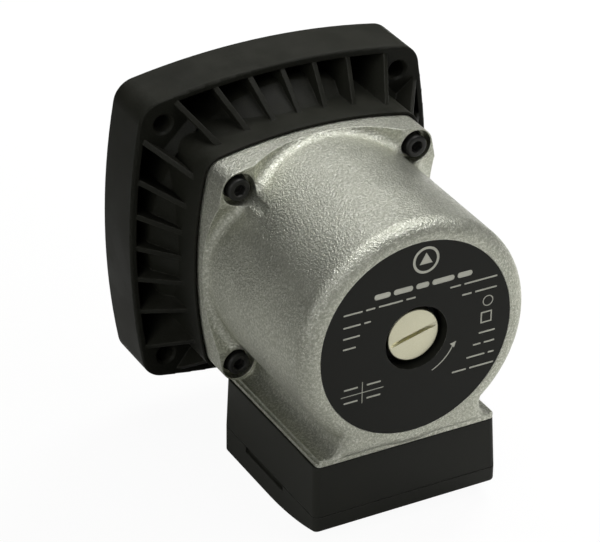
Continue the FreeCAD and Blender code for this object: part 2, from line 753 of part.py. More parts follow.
def make_impeller():
    """Hub, drive plate and vanes."""
    plate = turned([(shaft_radius, shaft_back + cone_length), (cone_radius, shaft_back + cone_length),
                    (hub_radius, impeller_plate_back - blade_height + 3), (hub_radius, impeller_plate_back),
                    (impeller_radius, impeller_plate_back), (impeller_radius, impeller_plate_back + impeller_plate),
                    (hub_radius, impeller_plate_back + impeller_plate),
                    (hub_radius, impeller_plate_back + impeller_plate + hub_length),
                    (shaft_radius, impeller_plate_back + impeller_plate + hub_length)])
    blades = [make_blade(360 * blade / blade_count) for blade in range(blade_count)]
    return plate.multiFuse(blades)


def make_impeller_shroud():
    """Suction-side cover of the vanes, with the eye that runs in the volute's neck."""
    front = impeller_plate_back - blade_height
    back = front - impeller_plate
    return turned([(eye_radius - eye_wall, back - eye_length), (eye_radius, back - eye_length),
                   (eye_radius, back), (impeller_radius, back), (impeller_radius, front),
                   (eye_radius - eye_wall, front)])


def make_impeller_cone():
    cone = turned([(shaft_radius, shaft_back + 0.5), (cone_radius - 1.2, shaft_back + 0.5),
                   (cone_radius, shaft_back + cone_length), (shaft_radius, shaft_back + cone_length)])
    return cone


# ---- vent plug and nameplate ----
def make_vent_plug():
    under = plug_face - plug_head_thickness
    head = disc(plug_head_radius, under, plug_face)
    head = head.makeFillet(0.5, [edge for edge in head.Edges if is_at(edge, plug_face)])
    slot = block(-plug_head_radius - 1, plug_head_radius + 1, plug_face - plug_slot_depth, plug_face + 1,
                 -plug_slot_width / 2, plug_slot_width / 2)
    head = head.cut(turn_about_axis(slot, plug_slot_angle))
    shank = disc(neck_bore_radius - thread_gap, plug_shank_back, under + 0.5)
    thread_relief = ring(neck_bore_radius + 1, neck_bore_radius - plug_relief, under - plug_relief, under)
    return head.fuse(shank).cut(thread_relief).removeSplitter()


def make_plug_seal():
    under = plug_face - plug_head_thickness
    seal = ring(neck_radius, neck_bore_radius + 0.1, neck_front + plug_seal_gap, under - plug_seal_gap)
    rims = [edge for edge in seal.Edges if is_at(edge, neck_front + plug_seal_gap)
            or is_at(edge, under - plug_seal_gap)]
    return seal.makeFillet(0.3, rims)


def make_nameplate():
    plate = ring(nameplate_radius, plug_recess_radius, body_front - nameplate_thickness, body_front)
    collar = ring(plug_recess_radius + collar_wall, plug_recess_radius, body_front - collar_depth, body_front)
    return plate.fuse(collar).removeSplitter()


# ---- terminal box ----
def rounded_block(half, back, front, z_low, z_high, radius):
    shape = block(-half, half, back, front, z_low, z_high)
    upright = [edge for edge in shape.Edges
               if abs(edge.Vertexes[0].Z - edge.Vertexes[-1].Z) > abs(z_high - z_low) / 2]
    return shape.makeFillet(radius, upright)


def rounded_outline(half, back, front, z, radius):
    plate = rounded_block(half, back, front, z, z + 1, radius)
    bottom = [face for face in plate.Faces if face.BoundBox.ZMax < z + 0.001]
    return bottom[0].OuterWire


def tapered_block(inset, z_low, z_high, radius):
    """The box's outer shape, or its inside: it widens towards the cover."""
    low = rounded_outline(low_half - inset, low_back + inset, low_front - inset, z_low, radius)
    high = rounded_outline(box_half - inset, box_back + inset, box_front - inset, z_high, radius)
    return Part.makeLoft([low, high], True, True)


def make_box_gasket():
    hole = box_screw_radius + box_screw_clearance
    gasket = rounded_block(foot_half - 1, box_back + 1, box_front - 1, box_top, foot_bottom, 1.5)
    cuts = [block(-lead_slot_half, lead_slot_half, lead_slot_back, lead_slot_front, box_top - 1, foot_bottom + 1),
            post(hole, -box_screw_x, box_screw_ahead, box_top - 1, foot_bottom + 1),
            post(hole, box_screw_x, box_screw_ahead, box_top - 1, foot_bottom + 1),
            post(hole, earth_x, earth_ahead, box_top - 1, foot_bottom + 1)]
    return gasket.cut(cuts[0].multiFuse(cuts[1:]))


def make_terminal_box():
    shell = tapered_block(0.0, box_bottom, box_top, box_edge_radius)
    shell = shell.cut(tapered_block(box_wall, box_bottom, box_ceiling, 1.0))
    hole = box_screw_radius + box_screw_clearance
    seat = box_ceiling - box_post_drop
    posts = []
    for side in (-1, 1):
        posts.append(post(box_screw_head_radius + 1.4, side * box_screw_x, box_screw_ahead,
                          seat, box_ceiling + 0.5))
    rest = block(-block_half, block_half, block_back, block_front, box_ceiling - block_rest, box_ceiling + 0.5)
    shell = shell.multiFuse(posts + [rest])
    inlet = Part.makeCylinder(inlet_radius, box_wall + 2, Vector(box_half - box_wall - 1, -inlet_ahead, inlet_z),
                              Vector(1, 0, 0))
    cuts = [inlet,
            block(-lead_slot_half, lead_slot_half, lead_slot_back, lead_slot_front, box_ceiling - 1, box_top + 1),
            post(hole, -box_screw_x, box_screw_ahead, seat - 1, box_top + 1),
            post(hole, box_screw_x, box_screw_ahead, seat - 1, box_top + 1),
            post(hole, earth_x, earth_ahead, box_ceiling - 1, box_top + 1)]
    return shell.cut(cuts[0].multiFuse(cuts[1:]))


def make_box_screws():
    screws = []
    for side in (-1, 1):
        seat = box_ceiling - box_post_drop
        shank = post(box_screw_radius - thread_depth, side * box_screw_x, box_screw_ahead, seat - 0.5,
                     foot_bottom + box_screw_reach - box_wall - 0.5)
        head = post(box_screw_head_radius, side * box_screw_x, box_screw_ahead,
                    seat - box_screw_head_height, seat)
        under = seat - box_screw_head_height
        cross = [block(side * box_screw_x - across, side * box_screw_x + across,
                       box_screw_ahead - along, box_screw_ahead + along, under - 1, under + cross_depth)
                 for across, along in ((cross_half, cross_width / 2), (cross_width / 2, cross_half))]
        screws.append(head.fuse(shank).cut(cross[0].fuse(cross[1])))
    return Part.makeCompound(screws)


def make_earth_screw():
    seat = box_ceiling
    shank = post(box_screw_radius - thread_depth, earth_x, earth_ahead, seat - 0.5, foot_top - 0.6)
    head = post(box_screw_head_radius, earth_x, earth_ahead, seat - box_screw_head_height, seat)
    plate = block(earth_x - 4.2, earth_x + 4.2, earth_ahead - 4.2, earth_ahead + 4.2, seat - 1, seat)
    slot = block(earth_x - 5, earth_x + 5, earth_ahead - 0.5, earth_ahead + 0.5,
                 seat - box_screw_head_height - 1, seat - box_screw_head_height + 1)
    return head.multiFuse([shank, plate]).cut(slot)


def pole_places():
    pitch = 2 * block_half / pole_count
    return [-block_half + pitch * (pole + 0.5) for pole in range(pole_count)]


def make_terminal_block():
    top = box_ceiling - block_rest
    body = block(-block_half, block_half, block_back, block_front, top - block_height, top)
    middle = (block_back + block_front) / 2
    cuts = []
    for x in pole_places():
        cuts.append(post(pole_well_radius, x, middle, top - block_height - 1, top - pole_well_floor))
        cuts.append(disc(wire_hole_radius, block_back - 1, block_front + 1, x, top - block_height / 2))
    for pole in range(1, pole_count):
        x = -block_half + 2 * block_half / pole_count * pole
        cuts.append(block(x - 0.5, x + 0.5, block_back - 1, block_front + 1, top - block_height - 1,
                          top - block_height + pole_fence))
    return body.cut(cuts[0].multiFuse(cuts[1:]))


def make_terminal_screws():
    top = box_ceiling - block_rest
    middle = (block_back + block_front) / 2
    screws = []
    for x in pole_places():
        screw = post(pole_screw_radius, x, middle, top - block_height + 1.5, top - pole_well_floor - 0.4)
        slot = block(x - 3, x + 3, middle - 0.4, middle + 0.4, top - block_height, top - block_height + 2.6)
        screws.append(screw.cut(slot).cut(disc(wire_hole_radius, block_back, block_front, x, top - block_height / 2)))
    return Part.makeCompound(screws)


def make_capacitor():
    body = Part.makeCylinder(capacitor_radius, 2 * capacitor_half_length,
                             Vector(-capacitor_half_length, -capacitor_ahead, capacitor_z), Vector(1, 0, 0))
    ends = [edge for edge in body.Edges if edge.BoundBox.XLength < 0.01]
    return body.makeFillet(1.0, ends)


def make_capacitor_clip():
    def tube(radius):
        return Part.makeCylinder(radius, clip_width, Vector(-clip_width / 2, -capacitor_ahead, capacitor_z),
                                 Vector(1, 0, 0))
    inner = capacitor_radius + 0.05
    clip = tube(inner + clip_thickness).cut(tube(inner))
    clip = clip.cut(block(-clip_width, clip_width, capacitor_ahead - 20, capacitor_ahead + 20,
                          capacitor_z - 20, capacitor_z - 3))
    foot = block(-clip_width / 2, clip_width / 2, capacitor_ahead - 4, capacitor_ahead + 4,
                 capacitor_z + inner, box_ceiling)
    return clip.fuse(foot)


def make_grommet():
    middle = box_half - box_wall / 2
    def tube(radius, x_low, x_high):
        return Part.makeCylinder(radius, x_high - x_low, Vector(x_low, -inlet_ahead, inlet_z), Vector(1, 0, 0))
    outer_rim = tube(inlet_radius + grommet_rim, box_half - box_wall - 1.2, box_half - box_wall)
    sleeve = tube(inlet_radius, box_half - box_wall - 1.2, box_half)
    bore = tube(grommet_bore_radius, middle - 6, middle + 6)
    return outer_rim.fuse(sleeve).cut(bore)


def make_lead_bush():
    back, front = lead_slot_back + 0.1, lead_slot_front - 0.1
    bush = block(-lead_slot_half + 0.1, lead_slot_half - 0.1, back, front, box_ceiling, foot_top)
    holes = [post(lead_radius, x, (back + front) / 2, box_ceiling - 1, foot_top + 1) for x in lead_places()]
    return bush.cut(holes[0].multiFuse(holes[1:]))


def lead_places():
    return [-lead_pitch, 0.0, lead_pitch]


def make_motor_leads():
    """Three leads: down from the windings, then forward into the terminal block."""
    ahead = (lead_slot_back + lead_slot_front) / 2
    entry = box_ceiling - block_rest - block_height / 2
    leads = []
    for x in lead_places():
        top = Vector(x, -ahead, lead_top)
        bend_start = Vector(x, -ahead, entry + lead_bend)
        bend_middle = Vector(x, -(ahead + lead_bend * (1 - math.sqrt(0.5))),
                             entry + lead_bend * (1 - math.sqrt(0.5)))
        bend_end = Vector(x, -(ahead + lead_bend), entry)
        end = Vector(x, -block_back, entry)
        path = Part.Wire([Part.LineSegment(top, bend_start).toShape(),
                          Part.Arc(bend_start, bend_middle, bend_end).toShape(),
                          Part.LineSegment(bend_end, end).toShape()])
        section = Part.Wire(Part.makeCircle(lead_radius, top, Vector(0, 0, 1)))
        leads.append(path.makePipeShell([section], True, False))
    return Part.makeCompound(leads)


def make_capacitor_leads():
    entry = box_ceiling - block_rest - block_height / 2
    reach = math.sqrt(capacitor_radius ** 2 - (entry - capacitor_z - lead_radius) ** 2)
    return Part.makeCompound([disc(lead_radius, block_front, capacitor_ahead - reach, x, entry)
                              for x in (pole_places()[0], pole_places()[-1])])


def cover_outer():
    """Cover shape: deep at the back, its underside curving up towards the front."""
    rise = cover_curve_radius - math.sqrt(cover_curve_radius ** 2 - (low_front - cover_curve_start) ** 2)
    half_run = (low_front - cover_curve_start) / 2
    half_rise = cover_curve_radius - math.sqrt(cover_curve_radius ** 2 - half_run ** 2)
    start = Vector(-low_half, -cover_curve_start, cover_bottom)
    middle = Vector(-low_half, -(cover_curve_start + half_run), cover_bottom + half_rise)
    end = Vector(-low_half, -low_front, cover_bottom + rise)
    top_front = Vector(-low_half, -low_front, cover_top)
    top_back = Vector(-low_half, -low_back, cover_top)
    back = Vector(-low_half, -low_back, cover_bottom)
    outline = Part.Wire([Part.Arc(start, middle, end).toShape(), Part.LineSegment(end, top_front).toShape(),
                         Part.LineSegment(top_front, top_back).toShape(),
                         Part.LineSegment(top_back, back).toShape(), Part.LineSegment(back, start).toShape()])
    return Part.Face(outline).extrude(Vector(2 * low_half, 0, 0))


def make_terminal_cover():
    solid = cover_outer()
    upright = [edge for edge in solid.Edges
               if abs(edge.Vertexes[0].Z - edge.Vertexes[-1].Z) > 3 and edge.BoundBox.YLength < 0.01
               and edge.BoundBox.XLength < 0.01]
    solid = solid.makeFillet(box_edge_radius, upright)
    under = [edge for edge in solid.Edges if edge.BoundBox.ZMax < cover_top - 0.5 and edge.Length > 1
             and not (edge.BoundBox.XLength > 60 and edge.BoundBox.YLength < 0.01
                      and edge.BoundBox.ZLength < 0.01 and abs(edge.Vertexes[0].Y + cover_curve_start) < 0.01)
             and not (edge.BoundBox.ZLength > 3 and edge.BoundBox.XLength < 1 and edge.BoundBox.YLength < 1)]
    solid = solid.makeFillet(cover_edge_radius, under)
    inner = solid.copy()
    hollow = inner.common(block(-low_half + box_wall, low_half - box_wall, low_back + box_wall,
                                low_front - box_wall, cover_bottom - 1, cover_top + 1))
    hollow.translate(Vector(0, 0, box_wall))
    hollow = hollow.fuse(block(-low_half + box_wall, low_half - box_wall, low_back + box_wall,
                               low_front - box_wall, cover_top - 1, cover_top + 6))
    gap = box_wall + loose_gap
    tongue = rounded_block(low_half - gap, low_back + gap, low_front - gap, cover_top - 1.5,
                           cover_top + cover_tongue, 1.0)
    tongue = tongue.cut(block(-low_half + gap + cover_tongue_wall, low_half - gap - cover_tongue_wall,
                              low_back + gap + cover_tongue_wall, low_front - gap - cover_tongue_wall,
                              cover_top - 3, cover_top + cover_tongue + 1))
    ledge = block(-low_half + 1, low_half - 1, low_back + 1, low_front - 1, cover_top - 2, cover_top - 0.4)
    ledge = ledge.cut(block(-low_half + gap + cover_tongue_wall, low_half - gap - cover_tongue_wall,
                            low_back + gap + cover_tongue_wall, low_front - gap - cover_tongue_wall,
                            cover_top - 3, cover_top + 1))
    latch = block(-low_half - 1, -low_half + latch_depth, latch_back, latch_front,
                  cover_top - latch_height, cover_top + 1)
    return solid.cut(hollow).multiFuse([ledge, tongue]).cut(latch)


makers = {
    "pump_casing": make_pump_casing,
    "casing_inserts": make_casing_inserts,
    "casing_face_seal": lambda: o_ring(face_seal_radius, face_seal_section, face_groove_depth - face_seal_section / 2),
    "stator_housing": make_stator_housing,
    "housing_screws": make_housing_screws,
    "screw_washers": make_screw_washers,
    "stator_core": make_stator_core,
    "stator_windings": make_stator_windings,
    "end_insulators": make_end_insulators,
    "rotor_can": make_rotor_can,
    "can_seal": lambda: o_ring(can_seal_radius, can_seal_section,
                               drum_front - can_flange_thickness - can_seal_section / 2),
    "vent_neck": make_vent_neck,
    "neck_seal": make_neck_seal,
    "bearing_plate": make_bearing_plate,
    "rear_bearing": lambda: make_radial_bearing(rear_bearing_back, rear_bearing_front),
    "front_bearing": lambda: make_radial_bearing(front_bearing_back, front_bearing_front),
    "thrust_bearing": make_thrust_bearing,
    "nameplate": make_nameplate,
    "box_gasket": make_box_gasket,
    "terminal_box": make_terminal_box,
    "box_screws": make_box_screws,
    "earth_screw": make_earth_screw,
    "terminal_block": make_terminal_block,
    "terminal_screws": make_terminal_screws,
    "capacitor": make_capacitor,
    "capacitor_clip": make_capacitor_clip,
    "capacitor_leads": make_capacitor_leads,
    "motor_leads": make_motor_leads,
    "lead_bush": make_lead_bush,
    "cable_grommet": make_grommet,
    "shaft": make_shaft,
    "rotor_core": make_rotor_core,
    "rotor_cage": make_rotor_cage,
    "rotor_sleeve": make_rotor_sleeve,
    "thrust_collar": make_thrust_collar,
    "impeller": make_impeller,
    "impeller_shroud": make_impeller_shroud,
    "impeller_cone": make_impeller_cone,
    "plug_seal": make_plug_seal,
    "vent_plug": make_vent_plug,
    "terminal_cover": make_terminal_cover,
}

os.makedirs("parts", exist_ok=True)
for node, maker in makers.items():
    shape = maker()
    solids = shape.Solids
    if not solids or not all(solid.isValid() for solid in solids):
        raise SystemExit("bad solid in " + node)
    result = solids[0] if len(solids) == 1 else Part.makeCompound(solids)
    result.exportStep("parts/" + node + ".step")
    print(node, len(solids), round(sum(solid.Volume for solid in solids), 1))
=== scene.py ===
import bmesh
import bpy
import json
import math
from mathutils import Matrix, Vector


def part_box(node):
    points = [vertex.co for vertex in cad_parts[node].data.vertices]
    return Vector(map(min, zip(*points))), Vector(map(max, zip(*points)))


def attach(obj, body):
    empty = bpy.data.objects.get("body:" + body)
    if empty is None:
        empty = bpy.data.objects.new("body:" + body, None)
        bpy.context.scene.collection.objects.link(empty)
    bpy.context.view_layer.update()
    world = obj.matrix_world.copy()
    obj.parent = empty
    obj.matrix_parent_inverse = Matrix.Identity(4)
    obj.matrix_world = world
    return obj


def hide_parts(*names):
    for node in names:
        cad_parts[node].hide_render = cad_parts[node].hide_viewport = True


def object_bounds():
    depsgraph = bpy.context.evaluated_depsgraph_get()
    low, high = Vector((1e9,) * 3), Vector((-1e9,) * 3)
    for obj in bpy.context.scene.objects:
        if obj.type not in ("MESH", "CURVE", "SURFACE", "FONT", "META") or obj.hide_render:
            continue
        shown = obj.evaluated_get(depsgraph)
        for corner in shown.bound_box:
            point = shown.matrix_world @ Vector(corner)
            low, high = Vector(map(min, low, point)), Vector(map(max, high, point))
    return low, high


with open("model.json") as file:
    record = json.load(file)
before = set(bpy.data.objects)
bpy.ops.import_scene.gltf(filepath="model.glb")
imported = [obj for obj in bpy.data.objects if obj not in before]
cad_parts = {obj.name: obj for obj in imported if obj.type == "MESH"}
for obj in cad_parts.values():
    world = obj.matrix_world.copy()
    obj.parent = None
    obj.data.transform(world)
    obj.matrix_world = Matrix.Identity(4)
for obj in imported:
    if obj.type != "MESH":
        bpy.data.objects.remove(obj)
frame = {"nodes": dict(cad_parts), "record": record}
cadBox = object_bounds()
nodes = frame["nodes"]
mm = 0.001
print("frame loaded:", len(nodes), "nodes")


def objectMode():
    if bpy.context.object and bpy.context.object.mode == "EDIT":
        bpy.ops.object.mode_set(mode="OBJECT")
    bpy.ops.object.select_all(action="DESELECT")


def chooseOnly(*pieces):
    objectMode()
    for piece in pieces:
        piece.select_set(True)
    bpy.context.view_layer.objects.active = pieces[0]


def startEdit(piece):
    chooseOnly(piece)
    bpy.ops.object.mode_set(mode="EDIT")
    bpy.ops.mesh.select_all(action="DESELECT")


def pickFaces(piece, test):  # test gets a face's centre and its normal
    bpy.ops.mesh.select_mode(type="FACE")
    bpy.ops.mesh.select_all(action="DESELECT")
    shell = bmesh.from_edit_mesh(piece.data)
    for face in shell.faces:
        face.select_set(test(face.calc_center_median(), face.normal))
    bmesh.update_edit_mesh(piece.data)


def pickEdges(piece, test):  # test gets an edge's two ends
    bpy.ops.mesh.select_mode(type="EDGE")
    bpy.ops.mesh.select_all(action="DESELECT")
    shell = bmesh.from_edit_mesh(piece.data)
    for edge in shell.edges:
        edge.select_set(test(edge.verts[0].co, edge.verts[1].co))
    bmesh.update_edit_mesh(piece.data)


def pickVerts(piece, test):
    bpy.ops.mesh.select_mode(type="VERT")
    bpy.ops.mesh.select_all(action="DESELECT")
    shell = bmesh.from_edit_mesh(piece.data)
    for vert in shell.verts:
        vert.select_set(test(vert.co))
    shell.select_flush(True)
    bmesh.update_edit_mesh(piece.data)


def addCylinder(radius, low, high, sides=96, x=0, y=0):
    objectMode()
    bpy.ops.mesh.primitive_cylinder_add(vertices=sides, radius=radius, depth=high - low,
                                        location=(x, y, (low + high) / 2))
    piece = bpy.context.object
    bpy.ops.object.transform_apply()
    return piece


def cutAway(piece, cutter):
    chooseOnly(piece)
    cut = piece.modifiers.new("cut", "BOOLEAN")
    cut.operation = "DIFFERENCE"
    cut.solver = "EXACT"
    cut.object = cutter
    bpy.ops.object.modifier_apply(modifier="cut")
    bpy.data.objects.remove(cutter)


def lieAlongAxis(piece, x, y, z):  # built upright about +Z, laid down so that its top faces -Y
    chooseOnly(piece)
    piece.rotation_euler = (math.radians(90), 0, 0)
    piece.location = (x, y, z)
    bpy.ops.object.transform_apply()


def smoothOver(piece, degrees=32):
    chooseOnly(piece)
    bpy.ops.object.shade_smooth_by_angle(angle=math.radians(degrees))


def ownCopy(piece, name):
    twin = piece.copy()
    twin.data = piece.data.copy()
    twin.name = name
    bpy.context.scene.collection.objects.link(twin)
    return twin


def near(value, target, slack=0.02 * mm):
    return abs(value - target) < slack


def newGroup(name, inputs, outputs):
    group = bpy.data.node_groups.new(name, "ShaderNodeTree")
    for label, kind, default in inputs:
        socket = group.interface.new_socket(label, in_out="INPUT", socket_type=kind)
        if default is not None:
            socket.default_value = default
    for label, kind in outputs:
        group.interface.new_socket(label, in_out="OUTPUT", socket_type=kind)
    return group, group.nodes.new("NodeGroupInput"), group.nodes.new("NodeGroupOutput")


def addMath(tree, operation, first, second=None, clamp=False):
    node = tree.nodes.new("ShaderNodeMath")
    node.operation = operation
    node.use_clamp = clamp
    for socket, value in zip(node.inputs, (first, second)):
        if value is None:
            continue
        if hasattr(value, "is_output"):
            tree.links.new(value, socket)
        else:
            socket.default_value = value
    return node.outputs[0]


def addNoise(tree, vector, scale, detail=2.0, roughness=0.5, distortion=0.0):
    node = tree.nodes.new("ShaderNodeTexNoise")
    tree.links.new(vector, node.inputs["Vector"])
    for label, value in (("Scale", scale), ("Detail", detail), ("Roughness", roughness),
                         ("Distortion", distortion)):
        if hasattr(value, "is_output"):
            tree.links.new(value, node.inputs[label])
        else:
            node.inputs[label].default_value = value
    return node.outputs["Fac"]


def addRange(tree, value, low, high, outLow=0.0, outHigh=1.0, smooth=True):
    node = tree.nodes.new("ShaderNodeMapRange")
    node.interpolation_type = "SMOOTHSTEP" if smooth else "LINEAR"
    for label, item in (("Value", value), ("From Min", low), ("From Max", high),
                        ("To Min", outLow), ("To Max", outHigh)):
        if hasattr(item, "is_output"):
            tree.links.new(item, node.inputs[label])
        else:
            node.inputs[label].default_value = item
    return node.outputs[0]


def addMix(tree, factor, first, second):
    node = tree.nodes.new("ShaderNodeMix")
    node.data_type = "RGBA"
    for socket, item in ((node.inputs[0], factor), (node.inputs[6], first), (node.inputs[7], second)):
        if hasattr(item, "is_output"):
            tree.links.new(item, socket)
        elif socket.type == "RGBA":
            socket.default_value = (*item, 1)
        else:
            socket.default_value = item
    return node.outputs[2]


def buildGrain():  # fine surface texture in two sizes, with the flecks that catch the light
    group, given, result = newGroup("surfaceGrain", [("Vector", "NodeSocketVector", None),
                                                     ("Grains per metre", "NodeSocketFloat", 1500.0)],
                                    [("Height", "NodeSocketFloat"), ("Fleck", "NodeSocketFloat")])
    vector, scale = given.outputs["Vector"], given.outputs["Grains per metre"]
    fineness, coarseShare = 2.3, 0.65
    coarse = addNoise(group, vector, scale, 2.0, 0.6)
    fine = addNoise(group, vector, addMath(group, "MULTIPLY", scale, fineness), 1.0, 0.5)
    height = addMath(group, "ADD", addMath(group, "MULTIPLY", coarse, coarseShare),
                     addMath(group, "MULTIPLY", fine, 1 - coarseShare))
    group.links.new(height, result.inputs["Height"])
    group.links.new(addRange(group, height, 0.42, 0.66), result.inputs["Fleck"])
    return group


def buildMottle():  # slow cloudy change over the whole piece
    group, given, result = newGroup("mottle", [("Vector", "NodeSocketVector", None),
                                               ("Patches per metre", "NodeSocketFloat", 40.0)],
                                    [("Cloud", "NodeSocketFloat")])
    cloud = addNoise(group, given.outputs["Vector"], given.outputs["Patches per metre"], 3.0, 0.55, 0.4)
    group.links.new(addRange(group, cloud, 0.3, 0.7), result.inputs["Cloud"])
    return group


def buildEdgeRub():  # where handling has polished or bared the outer edges
    group, given, result = newGroup("edgeRub", [("Vector", "NodeSocketVector", None),
                                                ("Reach", "NodeSocketFloat", 0.0006),
                                                ("Amount", "NodeSocketFloat", 1.0)],
                                    [("Mask", "NodeSocketFloat"), ("Normal", "NodeSocketVector")])
    rounded = group.nodes.new("ShaderNodeBevel")
    rounded.samples = 6
    group.links.new(given.outputs["Reach"], rounded.inputs["Radius"])
    surface = group.nodes.new("ShaderNodeNewGeometry")
    facing = group.nodes.new("ShaderNodeVectorMath")
    facing.operation = "DOT_PRODUCT"
    group.links.new(rounded.outputs[0], facing.inputs[0])
    group.links.new(surface.outputs["Normal"], facing.inputs[1])
    turned = addMath(group, "SUBTRACT", 1.0, facing.outputs["Value"])
    patchy = addRange(group, addNoise(group, given.outputs["Vector"], 380.0, 3.0), 0.35, 0.62)
    edge = addMath(group, "MULTIPLY", addRange(group, turned, 0.02, 0.16), patchy)
    mask = addMath(group, "MULTIPLY", edge, given.outputs["Amount"], clamp=True)
    group.links.new(mask, result.inputs["Mask"])
    group.links.new(rounded.outputs[0], result.inputs["Normal"])
    return group


def buildDust():  # faint dust on what faces up
    group, given, result = newGroup("restingDust", [("Vector", "NodeSocketVector", None),
                                                    ("Amount", "NodeSocketFloat", 0.1)],
                                    [("Mask", "NodeSocketFloat")])
    surface = group.nodes.new("ShaderNodeNewGeometry")
    split = group.nodes.new("ShaderNodeSeparateXYZ")
    group.links.new(surface.outputs["Normal"], split.inputs[0])
    upward = addRange(group, split.outputs["Z"], 0.25, 0.95)
    patchy = addRange(group, addNoise(group, given.outputs["Vector"], 90.0, 4.0, 0.6), 0.3, 0.75)
    amount = addMath(group, "MULTIPLY", addMath(group, "MULTIPLY", upward, patchy), given.outputs["Amount"])
    group.links.new(amount, result.inputs["Mask"])
    return group


effects = {"grain": buildGrain(), "mottle": buildMottle(), "edgeRub": buildEdgeRub(), "dust": buildDust()}


def place(tree, effect, vector, **values):
    node = tree.nodes.new("ShaderNodeGroup")
    node.node_tree = effects[effect]
    tree.links.new(vector, node.inputs["Vector"])
    for label, value in values.items():
        node.inputs[label.replace("_", " ")].default_value = value
    return node


# One finish: two body tones, a fleck tone, an edge tone, gloss range, grain and metal share
def buildFinish(name, look):
    material = bpy.data.materials.new(name)
    material.use_nodes = True
    tree = material.node_tree
    shader = tree.nodes["Principled BSDF"]
    where = tree.nodes.new("ShaderNodeTexCoord").outputs["Object"]
    grain = place(tree, "grain", where, Grains_per_metre=look["grains"])
    mottle = place(tree, "mottle", where, Patches_per_metre=look.get("patches", 35.0))
    rub = place(tree, "edgeRub", where, Reach=look.get("edgeReach", 0.0006),
                Amount=look.get("edgeAmount", 0.5))
    colour = addMix(tree, mottle.outputs["Cloud"], look["tone"], look["otherTone"])
    fleck = addMath(tree, "MULTIPLY", grain.outputs["Fleck"], look.get("fleckShare", 0.3))
    colour = addMix(tree, fleck, colour, look["fleckTone"])
    colour = addMix(tree, rub.outputs["Mask"], colour, look["edgeTone"])
    rough = addRange(tree, mottle.outputs["Cloud"], 0.0, 1.0, *look["gloss"], smooth=False)
    duller = addMath(tree, "MULTIPLY", grain.outputs["Fleck"], look.get("fleckGloss", 0.05))
    polished = addMath(tree, "MULTIPLY", rub.outputs["Mask"], look.get("edgeGloss", 0.12))
    rough = addMath(tree, "ADD", rough, duller)
    rough = addMath(tree, "SUBTRACT", rough, polished, clamp=True)
    if look.get("dust"):
        dust = place(tree, "dust", where, Amount=look["dust"])
        colour = addMix(tree, dust.outputs["Mask"], colour, look.get("dustTone", (0.30, 0.29, 0.26)))
        rough = addMath(tree, "ADD", rough, addMath(tree, "MULTIPLY", dust.outputs["Mask"], 0.5), clamp=True)
    bump = tree.nodes.new("ShaderNodeBump")
    bump.inputs["Strength"].default_value = look.get("bump", 0.4)
    bump.inputs["Distance"].default_value = look.get("depth", 0.0001)
    tree.links.new(grain.outputs["Height"], bump.inputs["Height"])
    tree.links.new(rub.outputs["Normal"], bump.inputs["Normal"])
    tree.links.new(bump.outputs["Normal"], shader.inputs["Normal"])
    tree.links.new(colour, shader.inputs["Base Color"])
    tree.links.new(rough, shader.inputs["Roughness"])
    shader.inputs["Metallic"].default_value = look.get("metal", 0.0)
    shader.inputs["Specular IOR Level"].default_value = look.get("specular", 0.5)
    shader.inputs["Coat Weight"].default_value = look.get("coat", 0.0)
    shader.inputs["Coat Roughness"].default_value = look.get("coatRough", 0.2)
    return material


